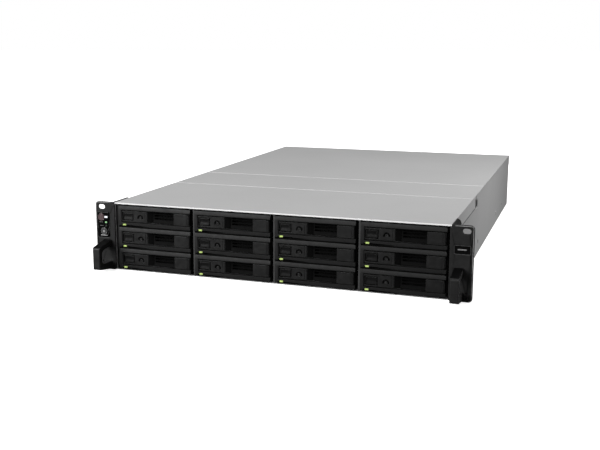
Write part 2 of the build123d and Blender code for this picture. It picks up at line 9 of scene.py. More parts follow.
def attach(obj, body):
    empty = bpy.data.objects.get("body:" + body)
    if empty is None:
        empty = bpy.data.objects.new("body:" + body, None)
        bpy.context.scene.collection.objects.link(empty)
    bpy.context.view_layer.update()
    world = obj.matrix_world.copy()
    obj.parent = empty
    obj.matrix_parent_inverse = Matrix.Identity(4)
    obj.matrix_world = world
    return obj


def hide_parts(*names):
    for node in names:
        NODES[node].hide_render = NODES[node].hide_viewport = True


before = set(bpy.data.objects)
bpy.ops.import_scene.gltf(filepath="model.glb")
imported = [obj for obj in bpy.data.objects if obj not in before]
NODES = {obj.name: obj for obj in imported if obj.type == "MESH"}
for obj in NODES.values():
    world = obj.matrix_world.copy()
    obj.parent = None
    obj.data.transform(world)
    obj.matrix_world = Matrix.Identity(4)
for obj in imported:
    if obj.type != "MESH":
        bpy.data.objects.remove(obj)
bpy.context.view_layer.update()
SCENE = bpy.context.scene
Y0 = -0.330                      # front edge of the chassis lid in the row frame
MM = 0.001


# ------------------------------------------------------------------ materials
def srgb(v):
    v = v / 255.0
    return v / 12.92 if v <= 0.04045 else ((v + 0.055) / 1.055) ** 2.4


def grey(v):
    g = srgb(v)
    return (g, g, g)


def shade(c, k):
    return tuple(min(1.0, x * k) for x in c[:3]) + (1.0,)


class Mat:
    """A Principled material whose colour, roughness and bump come from noise in object space."""

    def __init__(self, name, base, rough, metallic=0.0, spec=0.5, vary=0.08, vscale=35.0,
                 rvary=0.06, bump=0.0, bscale=1800.0, bdist=0.00005, kind="noise", stretch=None, coat=0.0, band=None):
        self.m = bpy.data.materials.new(name)
        self.m.use_nodes = True
        self.nt = self.m.node_tree
        self.nt.nodes.clear()
        n, l = self.nt.nodes, self.nt.links
        self.out = n.new("ShaderNodeOutputMaterial")
        self.b = n.new("ShaderNodeBsdfPrincipled")
        l.new(self.b.outputs[0], self.out.inputs["Surface"])
        self.b.inputs["Metallic"].default_value = metallic
        self.b.inputs["Specular IOR Level"].default_value = spec
        self.b.inputs["Coat Weight"].default_value = coat
        self.b.inputs["Coat Roughness"].default_value = 0.08
        tc = n.new("ShaderNodeTexCoord")
        self.coord = tc.outputs["Object"]
        if stretch:
            mp = n.new("ShaderNodeMapping")
            mp.inputs["Scale"].default_value = stretch
            l.new(self.coord, mp.inputs["Vector"])
            self.coord = mp.outputs[0]
        big = self.noise(vscale, 3.0)
        ramp = n.new("ShaderNodeValToRGB")
        ramp.color_ramp.elements[0].position = 0.3
        ramp.color_ramp.elements[1].position = 0.7
        ramp.color_ramp.elements[0].color = shade(base, 1.0 - vary)
        ramp.color_ramp.elements[1].color = shade(base, 1.0 + vary)
        l.new(big, ramp.inputs[0])
        self.colour = ramp.outputs[0]
        # A second tone along one object axis; in this script it paints a highlight on the front lid's edge and shade on
        # the cage behind its front hem.
        if band:
            axis, lo, hi, tone = band
            sep = n.new("ShaderNodeSeparateXYZ")
            l.new(tc.outputs["Object"], sep.inputs[0])
            edge = n.new("ShaderNodeMapRange")
            edge.inputs["From Min"].default_value = lo
            edge.inputs["From Max"].default_value = hi
            l.new(sep.outputs[axis], edge.inputs["Value"])
            two = n.new("ShaderNodeValToRGB")
            two.color_ramp.elements[0].position = 0.3
            two.color_ramp.elements[1].position = 0.7
            two.color_ramp.elements[0].color = shade(tone, 1.0 - vary)
            two.color_ramp.elements[1].color = shade(tone, 1.0 + vary)
            l.new(big, two.inputs[0])
            mix = n.new("ShaderNodeMix")
            mix.data_type = "RGBA"
            l.new(edge.outputs[0], mix.inputs["Factor"])
            l.new(self.colour, mix.inputs["A"])
            l.new(two.outputs[0], mix.inputs["B"])
            self.colour = mix.outputs["Result"]
        l.new(self.colour, self.b.inputs["Base Color"])
        mr = n.new("ShaderNodeMapRange")
        mr.inputs["From Min"].default_value = 0.3
        mr.inputs["From Max"].default_value = 0.7
        mr.inputs["To Min"].default_value = max(0.02, rough - rvary)
        mr.inputs["To Max"].default_value = min(1.0, rough + rvary)
        l.new(self.noise(vscale * 2.7, 2.0), mr.inputs["Value"])
        l.new(mr.outputs[0], self.b.inputs["Roughness"])
        if bump:
            if kind == "voronoi":
                v = n.new("ShaderNodeTexVoronoi")
                v.inputs["Scale"].default_value = bscale
                l.new(self.coord, v.inputs["Vector"])
                h = v.outputs["Distance"]
            else:
                h = self.noise(bscale, 2.0)
            bp = n.new("ShaderNodeBump")
            bp.inputs["Strength"].default_value = bump
            bp.inputs["Distance"].default_value = bdist
            l.new(h, bp.inputs["Height"])
            l.new(bp.outputs[0], self.b.inputs["Normal"])

    def noise(self, scale, detail):
        t = self.nt.nodes.new("ShaderNodeTexNoise")
        t.inputs["Scale"].default_value = scale
        t.inputs["Detail"].default_value = detail
        self.nt.links.new(self.coord, t.inputs["Vector"])
        return t.outputs["Fac"]

    def glow(self, colour, strength):
        """A lit lens: its emission colour varies slightly with fine noise."""
        n, l = self.nt.nodes, self.nt.links
        e = n.new("ShaderNodeValToRGB")
        e.color_ramp.elements[0].position = 0.25
        e.color_ramp.elements[1].position = 0.75
        e.color_ramp.elements[0].color = shade(colour, 0.86)
        e.color_ramp.elements[1].color = shade(colour, 1.0)
        l.new(self.noise(900.0, 1.0), e.inputs[0])
        l.new(e.outputs[0], self.b.inputs["Emission Color"])
        self.b.inputs["Emission Strength"].default_value = strength
        return self


M = {}
M["lid"] = Mat("lid_grey", grey(184), 0.54, spec=0.20, vary=0.02, vscale=9.0, rvary=0.012, bump=0.25, bscale=1500.0).m
# Front lid: near-white within 0.6 mm of the front edge, fading to the lid grey by 1.6 mm: a painted highlight along the
# front fold.
M["lid_front_highlight"] = Mat("lid_grey_painted_highlight", grey(232), 0.54, spec=0.20, vary=0.02, vscale=9.0, rvary=0.012, bump=0.25, bscale=1500.0, band=("Y", Y0 + 0.0006, Y0 + 0.0016, grey(184))).m
M["pan"] = Mat("pan_grey", grey(176), 0.50, spec=0.25, vary=0.025, vscale=11.0, rvary=0.012, bump=0.25, bscale=1500.0).m
# Lighter, shinier copy of the pan grey: painted highlight on the rail-hole rims and the notch frame.
M["pan_light"] = Mat("pan_grey_painted_highlight", grey(196), 0.38, spec=0.4, vary=0.03, vscale=60.0, bump=0.2, bscale=1500.0).m
M["steel"] = Mat("plated_steel", grey(160), 0.42, metallic=0.85, vary=0.06, vscale=60.0, bump=0.12, bscale=700.0, kind="voronoi", bdist=0.00003).m
M["bright"] = Mat("bright_screw", grey(196), 0.25, metallic=1.0, vary=0.05, vscale=150.0, bump=0.1, bscale=3000.0).m
M["alu"] = Mat("cast_aluminium", grey(150), 0.50, metallic=0.6, spec=0.3, vary=0.05, vscale=80.0, bump=0.3, bscale=1400.0).m
M["fin"] = Mat("extruded_aluminium", grey(205), 0.3, metallic=0.95, vary=0.05, vscale=40.0, bump=0.2, bscale=900.0, stretch=(1.0, 0.05, 1.0)).m
M["black_steel"] = Mat("black_powder_coat", grey(28), 0.44, spec=0.34, vary=0.12, vscale=60.0, bump=0.35, bscale=1700.0).m
# Cage steel grey at its front hem, turning near-black from 1.5 mm to 3 mm behind the front: painted shade in the gaps
# between trays.
M["cage"] = Mat("cage_steel_painted_shade", grey(62), 0.45, spec=0.3, vary=0.06, vscale=60.0, bump=0.3, bscale=1700.0, band=("Y", Y0 + 0.0015, Y0 + 0.0030, grey(13))).m
M["bezel"] = Mat("bezel_black_plastic", grey(24), 0.40, spec=0.40, vary=0.08, vscale=90.0, bump=0.45, bscale=2600.0).m
M["lever"] = Mat("lever_black_plastic", grey(24), 0.38, spec=0.40, vary=0.08, vscale=90.0, bump=0.35, bscale=2600.0).m
# Near-black material that paints shade: in the lever recesses, on the handle-arm tops, inside the rail holes, under the
# lid flange and in the side notch.
M["scoop"] = Mat("painted_shade_black", grey(5), 0.62, spec=0.06, vary=0.10, vscale=90.0, bump=0.4, bscale=2200.0).m
M["grille"] = Mat("grille_dark", grey(7), 0.6, spec=0.12, vary=0.10, vscale=90.0, bump=0.4, bscale=2200.0).m
M["key"] = Mat("key_black_plastic", grey(14), 0.38, spec=0.28, vary=0.08, vscale=120.0, bump=0.25, bscale=3200.0).m
M["plug"] = Mat("lock_plug_metal", grey(70), 0.32, metallic=0.7, vary=0.1, vscale=300.0, bump=0.2, bscale=4000.0).m
M["gloss"] = Mat("panel_gloss_black", grey(8), 0.10, spec=0.5, vary=0.1, vscale=60.0, rvary=0.03, bump=0.05, bscale=500.0, coat=0.4).m
M["rim"] = Mat("panel_rim", grey(105), 0.3, metallic=0.5, vary=0.06, vscale=120.0, bump=0.1, bscale=1500.0).m
M["rubber"] = Mat("black_moulded", grey(16), 0.55, spec=0.25, vary=0.12, vscale=80.0, bump=0.4, bscale=1900.0).m
M["green"] = Mat("latch_green", (0.015, 0.17, 0.06), 0.4, vary=0.1, vscale=90.0, bump=0.3, bscale=2200.0).m
M["brass"] = Mat("contact_gold", (0.75, 0.55, 0.22), 0.28, metallic=1.0, vary=0.08, vscale=200.0, bump=0.1, bscale=3000.0).m
M["blue"] = Mat("port_tongue_blue", (0.02, 0.12, 0.45), 0.4, vary=0.08, vscale=200.0, bump=0.2, bscale=3000.0).m
M["mask"] = Mat("board_solder_mask", (0.012, 0.085, 0.045), 0.34, vary=0.22, vscale=240.0, bump=0.5, bscale=420.0, kind="voronoi", coat=0.2).m
M["chip"] = Mat("chip_package", grey(34), 0.5, vary=0.1, vscale=300.0, bump=0.3, bscale=3000.0).m
M["print"] = Mat("printed_mark", grey(118), 0.5, vary=0.10, vscale=700.0, bump=0.1, bscale=3000.0).m
M["print_hi"] = Mat("printed_mark_light", grey(165), 0.5, vary=0.06, vscale=700.0, bump=0.1, bscale=3000.0).m
M["ring_red"] = Mat("power_ring", (0.115, 0.075, 0.078), 0.3, vary=0.12, vscale=500.0, bump=0.1, bscale=3000.0).m
M["cap_red"] = Mat("power_cap", (0.085, 0.058, 0.06), 0.32, vary=0.12, vscale=500.0, bump=0.1, bscale=3000.0).m
M["ring_grey"] = Mat("mute_ring", grey(92), 0.3, vary=0.1, vscale=500.0, bump=0.1, bscale=3000.0).m
M["cap_grey"] = Mat("mute_cap", grey(68), 0.32, vary=0.1, vscale=500.0, bump=0.1, bscale=3000.0).m
M["led"] = Mat("light_pipe_lit", (0.22, 0.30, 0.08), 0.3, vary=0.03, vscale=900.0, bump=0.05, bscale=3000.0).glow((0.52, 0.66, 0.22), 0.72).m
# Lighter copy of the lid grey for the strips at the lid seams: painted highlight.
M["hem"] = Mat("lid_seam_painted_highlight", grey(212), 0.5, spec=0.2, vary=0.02, vscale=9.0, rvary=0.012, bump=0.2, bscale=1500.0).m
# Light grey for the line inside the ear edges: painted highlight of the edge chamfer.
M["edge"] = Mat("painted_edge_highlight_grey", grey(168), 0.34, spec=0.45, vary=0.08, vscale=60.0, bump=0.2, bscale=1700.0).m
M["halo"] = Mat("light_halo", (0.03, 0.035, 0.012), 0.4, vary=0.06, vscale=900.0, bump=0.05, bscale=3000.0).glow((0.16, 0.19, 0.03), 0.4).m
M["led_white"] = Mat("indicator_white", (0.6, 0.62, 0.66), 0.3, vary=0.03, vscale=900.0, bump=0.05, bscale=3000.0).glow((0.72, 0.74, 0.76), 0.9).m
M["led_green"] = Mat("indicator_green", (0.12, 0.3, 0.12), 0.3, vary=0.03, vscale=900.0, bump=0.05, bscale=3000.0).glow((0.30, 0.52, 0.28), 0.7).m
M["led_off"] = Mat("indicator_off", (0.03, 0.035, 0.03), 0.25, vary=0.1, vscale=900.0, bump=0.05, bscale=3000.0).m
M["lamp_dull"] = Mat("port_lamp_unlit", (0.32, 0.27, 0.08), 0.3, vary=0.08, vscale=600.0, bump=0.05, bscale=3000.0).m
M["disc_lid"] = Mat("drive_lid_steel", grey(168), 0.3, metallic=0.9, vary=0.05, vscale=70.0, bump=0.15, bscale=1200.0, stretch=(1.0, 0.2, 1.0)).m


# ------------------------------------------------------------------ mesh tools
def cleaned(mesh):
    bm = bmesh.new()
    bm.from_mesh(mesh)
    bmesh.ops.remove_doubles(bm, verts=bm.verts, dist=2e-6)
    return bm


def islands(node):
    """The closed solids of a CAD node as (points, faces, low corner, high corner), in a fixed order."""
    bm = cleaned(NODES[node].data)
    bm.verts.ensure_lookup_table()
    seen, found = set(), []
    for v in bm.verts:
        if v.index in seen or not v.link_faces:
            continue
        stack, group = [v], []
        seen.add(v.index)
        while stack:
            a = stack.pop()
            group.append(a)
            for e in a.link_edges:
                b = e.other_vert(a)
                if b.index not in seen:
                    seen.add(b.index)
                    stack.append(b)
        index = {g.index: i for i, g in enumerate(group)}
        faces, done = [], set()
        for g in group:
            for f in g.link_faces:
                if f.index not in done:
                    done.add(f.index)
                    faces.append([index[w.index] for w in f.verts])
        pts = [tuple(g.co) for g in group]
        lo = Vector([min(p[i] for p in pts) for i in range(3)])
        hi = Vector([max(p[i] for p in pts) for i in range(3)])
        found.append((pts, faces, lo, hi))
    bm.free()
    found.sort(key=lambda s: tuple(round(c, 4) for c in list(s[2]) + list(s[3])))
    return found


def finish_mesh(o, bevel=0.0, segments=2, smooth=35.0, limit=32.0):
    me = o.data
    me.polygons.foreach_set("use_smooth", [True] * len(me.polygons))
    me.set_sharp_from_angle(angle=math.radians(smooth))
    me.update()
    if bevel:
        b = o.modifiers.new("soft_edges", "BEVEL")
        b.width = bevel
        b.segments = segments
        b.limit_method = "ANGLE"
        b.angle_limit = math.radians(limit)
        b.harden_normals = True
        b.use_clamp_overlap = False
    return o


def add(name, mesh, material, body, loc=None):
    o = bpy.data.objects.new(name, mesh)
    SCENE.collection.objects.link(o)
    if not mesh.materials:
        mesh.materials.append(material)
    if loc is not None:
        o.location = loc
    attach(o, body)
    return o


def mesh_from(name, pts, faces, shift=(0, 0, 0)):
    me = bpy.data.meshes.new(name)
    me.from_pydata([(p[0] - shift[0], p[1] - shift[1], p[2] - shift[2]) for p in pts], [], faces)
    me.validate()
    me.update()
    return me


def graded(o, origin, rules, small, big, segments=2):
    """Soft edges of two sizes: wide where both ends of an edge lie in one of the boxes, fine elsewhere."""
    me = o.data
    w = me.attributes.new("bevel_weight_edge", "FLOAT", "EDGE")
    bm = bmesh.new()
    bm.from_mesh(me)
    bm.edges.ensure_lookup_table()
    vals = []
    for e in bm.edges:
        a = e.calc_face_angle(0.0) if len(e.link_faces) == 2 else 0.0
        v = 0.0
        if a > math.radians(32):
            v = small / big
            pts = [(c.co - Vector(origin)) / MM for c in e.verts]
            for lo, hi in rules:
                if all(lo[i] - 0.02 <= q[i] <= hi[i] + 0.02 for q in pts for i in range(3)):
                    v = 1.0
        vals.append(v)
    bm.free()
    w.data.foreach_set("value", vals)
    b = o.modifiers.new("soft_edges", "BEVEL")
    b.width = big
    b.segments = segments
    b.limit_method = "WEIGHT"
    b.harden_normals = True
    b.use_clamp_overlap = False


def piece(name, isl, material, body, node, bevel=0.0003, segments=2):
    o = add(name, mesh_from(name, isl[0], isl[1]), material, body)
    finish_mesh(o, bevel, segments)
    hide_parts(node)
    return o


def bm_box(bm, lo, hi):
    r = bmesh.ops.create_cube(bm, size=1.0)
    c = [(lo[i] + hi[i]) / 2 for i in range(3)]
    s = [hi[i] - lo[i] for i in range(3)]
    for v in r["verts"]:
        v.co = Vector((c[0] + v.co.x * s[0], c[1] + v.co.y * s[1], c[2] + v.co.z * s[2]))
    return r["verts"]


def bm_cyl(bm, centre, r, depth, axis="Y", n=24, r2=None):
    res = bmesh.ops.create_cone(bm, cap_ends=True, segments=n, radius1=r, radius2=r if r2 is None else r2, depth=depth)
    rot = {"X": Matrix.Rotation(math.pi / 2, 4, "Y"), "Y": Matrix.Rotation(math.pi / 2, 4, "X"), "Z": Matrix.Identity(4)}[axis]
    m = Matrix.Translation(Vector(centre)) @ rot
    bmesh.ops.transform(bm, matrix=m, verts=res["verts"])
    return res["verts"]


def bm_ring(bm, centre, r_out, r_in, depth, axis="Y", n=32, round_=2):
    """A ring with a rectangular section, made by hand so it is closed."""
    rows = [(r_in, -depth / 2), (r_out, -depth / 2), (r_out, depth / 2), (r_in, depth / 2)]
    vs = []
    for i in range(n):
        a = 2 * math.pi * i / n
        for r, d in rows:
            x, y = r * math.cos(a), r * math.sin(a)
            p = {"Y": (x, d, y), "X": (d, x, y), "Z": (x, y, d)}[axis]
            vs.append(bm.verts.new(Vector(centre) + Vector(p)))
    k = len(rows)
    for i in range(n):
        for j in range(k):
            a, b = vs[i * k + j], vs[i * k + (j + 1) % k]
            c, d = vs[((i + 1) % n) * k + (j + 1) % k], vs[((i + 1) % n) * k + j]
            bm.faces.new((a, b, c, d))
    return vs


def bm_tube(bm, pts, r, n=8, closed=False):
    """A round wire along points."""
    rings = []
    k = len(pts)
    for i, p in enumerate(pts):
        p = Vector(p)
        q = Vector(pts[(i + 1) % k]) if (closed or i < k - 1) else p
        o = Vector(pts[i - 1]) if (closed or i > 0) else p
        t = (q - o).normalized()
        up = Vector((0, 0, 1)) if abs(t.z) < 0.9 else Vector((1, 0, 0))
        a = t.cross(up).normalized()
        b = t.cross(a).normalized()
        rings.append([bm.verts.new(p + r * (math.cos(2 * math.pi * j / n) * a + math.sin(2 * math.pi * j / n) * b)) for j in range(n)])
    for i in range(k if closed else k - 1):
        A, B = rings[i], rings[(i + 1) % k]
        for j in range(n):
            bm.faces.new((A[j], A[(j + 1) % n], B[(j + 1) % n], B[j]))
    if not closed:
        bm.faces.new(rings[0])
        bm.faces.new(list(reversed(rings[-1])))


def frame_rim(bm, x, z, hw, hh, r, t, y, d, n=6):
    """A thin rounded rectangular rim standing d in front of the plane y."""
    loops = []
    for grow, depth in ((0.0, 0.0), (0.0, -d), (-t, -d), (-t, 0.0)):
        ring = []
        for cx, cz, a0 in ((1, 1, 0.0), (-1, 1, 0.5), (-1, -1, 1.0), (1, -1, 1.5)):
            for i in range(n + 1):
                a = math.pi * (a0 + 0.5 * i / n)
                rr = r + grow
                ring.append(bm.verts.new((x + cx * (hw - r) + rr * math.cos(a), y + depth, z + cz * (hh - r) + rr * math.sin(a))))
        loops.append(ring)
    m = len(loops[0])
    for a in range(4):
        A, B = loops[a], loops[(a + 1) % 4]
        for i in range(m):
            bm.faces.new((A[i], A[(i + 1) % m], B[(i + 1) % m], B[i]))


def build(name, fn, material, body, bevel=0.0, segments=2, smooth=35.0, loc=None):
    bm = bmesh.new()
    fn(bm)
    bmesh.ops.recalc_face_normals(bm, faces=bm.faces)
    me = bpy.data.meshes.new(name)
    bm.to_mesh(me)
    bm.free()
    o = add(name, me, material, body, loc)
    finish_mesh(o, bevel, segments, smooth)
    return o


def keep(node, material, bevel=0.0, segments=2, slot=None):
    """A CAD node that stays: its own mesh, a better material and softened edges."""
    o = NODES[node]
    if o.material_slots:
        for s in o.material_slots:
            s.material = material
    else:
        o.data.materials.append(material)
    if bevel:
        w = o.modifiers.new("join", "WELD")
        w.merge_threshold = 2e-6
        b = o.modifiers.new("soft_edges", "BEVEL")
        b.width = bevel
        b.segments = segments
        b.limit_method = "ANGLE"
        b.angle_limit = math.radians(32)
        b.harden_normals = False
        b.use_clamp_overlap = False
    return o


# ------------------------------------------------------------------ camera, floor and light
SKY_LOW, SKY_HIGH = 0.03, 0.34
SKY_LEFT, SKY_RIGHT = 1.10, 0.90
TOP_POWER, LEFT_POWER, SIDE_POWER, REAR_POWER, KICK_POWER = 2.10, 112.0, 3.1, 8.6, 3.0
cam = bpy.data.cameras.new("camera")
cam.sensor_width = 36.0
cam.lens = 53.387
cam.shift_x = 0.02928
cam.shift_y = -0.0254
cam.clip_start, cam.clip_end = 0.05, 100.0
camera = bpy.data.objects.new("camera", cam)
camera.location = (0.361127, -1.315867, 0.288391)
camera.rotation_euler = (math.pi / 2 - 0.185, 0.0, 0.339)
SCENE.collection.objects.link(camera)
SCENE.camera = camera
SCENE.view_settings.view_transform = "Standard"
SCENE.view_settings.look = "None"

floor_mesh = bpy.data.meshes.new("floor")
R = 30.0
floor_mesh.from_pydata([(-R, -R, 0), (R, -R, 0), (R, R, 0), (-R, R, 0)], [], [(0, 1, 2, 3)])
floor = bpy.data.objects.new("floor", floor_mesh)
SCENE.collection.objects.link(floor)
floor_mat = Mat("floor_pale", grey(250), 0.9, spec=0.1, vary=0.004, vscale=3.0).glow((1.0, 1.0, 1.0), 0.85)
floor_mesh.materials.append(floor_mat.m)
floor.visible_diffuse = False
floor.visible_glossy = False

# studio sky: bright above, dark below the horizon, brighter to the left; white behind the object
world = bpy.data.worlds.new("studio")
SCENE.world = world
world.use_nodes = True
wn, wl = world.node_tree.nodes, world.node_tree.links
wn.clear()
w_out = wn.new("ShaderNodeOutputWorld")
w_tc = wn.new("ShaderNodeTexCoord")
w_sep = wn.new("ShaderNodeSeparateXYZ")
wl.new(w_tc.outputs["Generated"], w_sep.inputs[0])
w_up = wn.new("ShaderNodeMapRange")
w_up.interpolation_type = "SMOOTHSTEP"
w_up.inputs["From Min"].default_value = -0.15
w_up.inputs["From Max"].default_value = 0.75
w_up.inputs["To Min"].default_value = SKY_LOW
w_up.inputs["To Max"].default_value = SKY_HIGH
wl.new(w_sep.outputs["Z"], w_up.inputs["Value"])
w_side = wn.new("ShaderNodeMapRange")
w_side.inputs["From Min"].default_value = -1.0
w_side.inputs["From Max"].default_value = 1.0
w_side.inputs["To Min"].default_value = SKY_LEFT
w_side.inputs["To Max"].default_value = SKY_RIGHT
wl.new(w_sep.outputs["X"], w_side.inputs["Value"])
w_mul = wn.new("ShaderNodeMath")
w_mul.operation = "MULTIPLY"
wl.new(w_up.outputs[0], w_mul.inputs[0])
wl.new(w_side.outputs[0], w_mul.inputs[1])
w_sky = wn.new("ShaderNodeBackground")
w_sky.inputs["Color"].default_value = (1.0, 1.0, 1.0, 1.0)
wl.new(w_mul.outputs[0], w_sky.inputs["Strength"])
w_white = wn.new("ShaderNodeBackground")
w_white.inputs["Color"].default_value = (1.0, 1.0, 1.0, 1.0)
w_white.inputs["Strength"].default_value = 1.0
w_path = wn.new("ShaderNodeLightPath")
w_mix = wn.new("ShaderNodeMixShader")
wl.new(w_path.outputs["Is Camera Ray"], w_mix.inputs[0])
wl.new(w_sky.outputs[0], w_mix.inputs[1])
wl.new(w_white.outputs[0], w_mix.inputs[2])
wl.new(w_mix.outputs[0], w_out.inputs["Surface"])


def area(name, loc, target, size, power):
    d = bpy.data.lights.new(name, "AREA")
    d.shape = "RECTANGLE"
    d.size, d.size_y = size
    d.energy = power
    o = bpy.data.objects.new(name, d)
    o.location = loc
    o.rotation_euler = (Vector(target) - Vector(loc)).to_track_quat("-Z", "Y").to_euler()
    o.visible_camera = False
    SCENE.collection.objects.link(o)
    return o


area("top_softbox", (-0.3, -0.5, 2.4), (0, 0.05, 0), (2.2, 2.2), TOP_POWER)
area("left_softbox", (-1.65, -2.1, 1.25), (-0.05, -0.33, 0.05), (2.3, 1.9), LEFT_POWER)
area("side_strip", (0.66, 0.06, 0.30), (0.215, 0.06, 0.07), (0.20, 1.10), SIDE_POWER)
area("right_kicker", (1.30, -1.35, 0.30), (0.15, -0.33, 0.05), (0.35, 0.50), KICK_POWER)
area("rear_strip", (-0.04, 1.6, 0.050), (-0.04, 0.33, 0.050), (0.44, 0.07), REAR_POWER)

# ------------------------------------------------------------------ sheet metal
# The front lid takes the material with the painted highlight along its front edge.
for n, m, w in (("front_lid", "lid_front_highlight", 0.0003), ("fan_bay_lid", "lid", 0.0002), ("chassis_pan", "pan", 0.0)):
    keep(n, M[m], w, 2)
for n in ("left_ear", "right_ear"):
    keep(n, M["black_steel"], 0.0006, 3)
for s in islands("ear_handles"):
    side = "left" if s[3].x < 0 else "right"
    o = piece("handle_%s" % side, s, M["black_steel"], "chassis", "ear_handles", 0.0008, 3)
    # The top faces of the handle arms get the near-black material: painted shade on faces that point up.
    o.data.materials.append(M["scoop"])
    for f in o.data.polygons:
        c = f.center
        if c.z > 0.0350 and Y0 - 0.0302 < c.y < Y0 - 0.0021 and f.normal.z > 0.5:
            f.material_index = 1

sheet = islands("rear_lid")
for i, s in enumerate(sorted(sheet, key=lambda s: s[2].x - s[3].x)):
    if s[3].x - s[2].x > 0.2:
        piece("rear_lid_sheet", s, M["lid"], "rear_lid", "rear_lid", 0.0002, 1)
    else:
        piece("lid_screw_%d" % i, s, M["bright"], "rear_lid", "rear_lid", 0.0003)

# thin light grey tube just inside the outer edges of the rack ears: a painted highlight along the ear edges
def ear_painted_highlight_line(bm):
    for sx in (-1, 1):
        r, x, top, low, y = 0.0030, 0.2401, 0.0878, 0.0011, Y0 - 0.00202
        pts = [(sx * 0.2195, y, top)]
        pts += [(sx * (x - r + r * math.sin(a)), y, top - r + r * math.cos(a)) for a in [math.pi * k / 16 for k in range(9)]]
        pts += [(sx * (x - r + r * math.cos(a)), y, low + r - r * math.sin(a)) for a in [math.pi * k / 16 for k in range(9)]]
        bm_tube(bm, pts, 0.00026, 6)


build("ear_painted_highlight_line", ear_painted_highlight_line, M["edge"], "chassis")

# raised strip along the front edge of the middle and rear lids, lighter than the lid grey: a painted highlight on each
# seam
for n, body, y in (("fan_bay_lid_seam_highlight", "chassis", 0.17845), ("rear_lid_seam_highlight", "rear_lid", 0.29145)):
    build(n, lambda bm: bm_box(bm, (-0.2148, 0.0, -0.0003), (0.2148, 0.0014, 0.00018)), M["hem"], body, 0.00012, 2, loc=(0.0, Y0 + y, 0.0880))

# Cage walls take the cage material, whose painted shade darkens them behind the front hem; pieces at the far left take
# the black moulded material.
for i, s in enumerate(sorted(islands("drive_cage"), key=lambda s: s[2].x)):
    m = M["rubber"] if s[3].x < -0.20 else M["cage"]
    piece("cage_wall_%d" % i, s, m, "chassis", "drive_cage", 0.0003, 2)

# ------------------------------------------------------------------ trays
LEVER_EDGES = [
    ((41.3, -1.6, 6.7), (41.5, -0.5, 20.8)), ((5.8, -1.6, 6.7), (41.5, -0.5, 6.9)), ((5.8, -1.6, 6.7), (6.0, 4.6, 20.8)),
    ((78.7, -1.4, 6.0), (78.9, 4.6, 20.8)), ((78.7, -1.4, 20.6), (96.5, -0.5, 20.8)), ((78.7, -1.4, 6.0), (96.5, -0.5, 6.2)),
    ((96.3, -1.4, 6.0), (96.5, -0.5, 20.8)),
]
TRAY_AT = {}
for n in range(1, 13):
    r, k = divmod(n - 1, 4)
    TRAY_AT[n] = ((214.65 - 106.2 * (4 - k) + 0.9) * MM, Y0, (2.05 + 27.9 * (2 - r)) * MM)
for n in range(1, 13):
    node = "drive_tray_%02d" % n
    body = "tray_%02d" % n
    for s in islands(node):
        size = s[3] - s[2]
        if size.x < 0.01:
            piece("light_pipe_%02d" % n, s, M["led"], body, node, 0.0003, 2)
        elif size.y < 0.02:
            piece("bezel_%02d" % n, s, M["bezel"], body, node, 0.0003, 3)
        elif size.y > 0.16:
            piece("sled_%02d" % n, s, M["rubber"], body, node, 0.0003, 1)
        else:
            piece("hard_drive_%02d" % n, s, M["alu"], body, node, 0.0005, 2)
    node = "tray_lever_%02d" % n
    body = "lever_%02d" % n
    for s in islands(node):
        size = s[3] - s[2]
        if size.x < 0.01:
            piece("lock_plug_%02d" % n, s, M["plug"], body, node, 0.0002, 2)
        else:
            o = piece("lever_%02d" % n, s, M["lever"], body, node, 0.0, 2)
            # Faces in the scoop, the lock arch recess and the button groove get the near-black material: painted shade
            # in these recesses.
            o.data.materials.append(M["scoop"])
            for f in o.data.polygons:
                c = (f.center - Vector(TRAY_AT[n])) / MM
                scoop = 42.0 < c.x < 78.7 and 6.2 < c.z < 20.8 and -0.55 < c.y < 4.4
                arch = 27.9 < c.x < 36.3 and 11.0 < c.z < 16.7 and -1.45 < c.y < 0.5
                groove = 6.5 < c.x < 22.4 and 8.3 < c.z < 18.8 and -1.4 < c.y < 4.4
                if scoop or arch or groove:
                    f.material_index = 1
            graded(o, TRAY_AT[n], LEVER_EDGES, 0.00013, 0.00035)
    node = "release_button_%02d" % n
    for s in islands(node):
        piece("release_key_%02d" % n, s, M["key"], "button_%02d" % n, node, 0.0004, 3)

def vent_plate(bm):
    """Black air grille behind the lever: a sheet with two rows of upright slots, as one welded lattice."""
    xs = [46.6]
    while xs[-1] < 89.0:
        xs += [xs[-1] + 1.0, xs[-1] + 3.6]
    xs.append(91.4)
    zs = [7.9, 9.2, 13.2, 14.2, 18.2, 19.2]
    ys = (8.25, 8.95)
    grid = {}
    for i, x in enumerate(xs):
        for k, z in enumerate(zs):
            for j, y in enumerate(ys):
                grid[i, j, k] = bm.verts.new((x * MM, y * MM, z * MM))
    solid = lambda i, k: 0 <= i < len(xs) - 1 and 0 <= k < len(zs) - 1 and not (i % 2 == 1 and k % 2 == 1 and i < len(xs) - 2)
    for i in range(len(xs) - 1):
        for k in range(len(zs) - 1):
            if not solid(i, k):
                continue
            g = lambda a, j, c: grid[i + a, j, k + c]
            bm.faces.new((g(0, 0, 0), g(1, 0, 0), g(1, 0, 1), g(0, 0, 1)))
            bm.faces.new((g(0, 1, 0), g(0, 1, 1), g(1, 1, 1), g(1, 1, 0)))
            if not solid(i - 1, k):
                bm.faces.new((g(0, 0, 0), g(0, 0, 1), g(0, 1, 1), g(0, 1, 0)))
            if not solid(i + 1, k):
                bm.faces.new((g(1, 0, 0), g(1, 1, 0), g(1, 1, 1), g(1, 0, 1)))
            if not solid(i, k - 1):
                bm.faces.new((g(0, 0, 0), g(0, 1, 0), g(1, 1, 0), g(1, 0, 0)))
            if not solid(i, k + 1):
                bm.faces.new((g(0, 0, 1), g(1, 0, 1), g(1, 1, 1), g(0, 1, 1)))


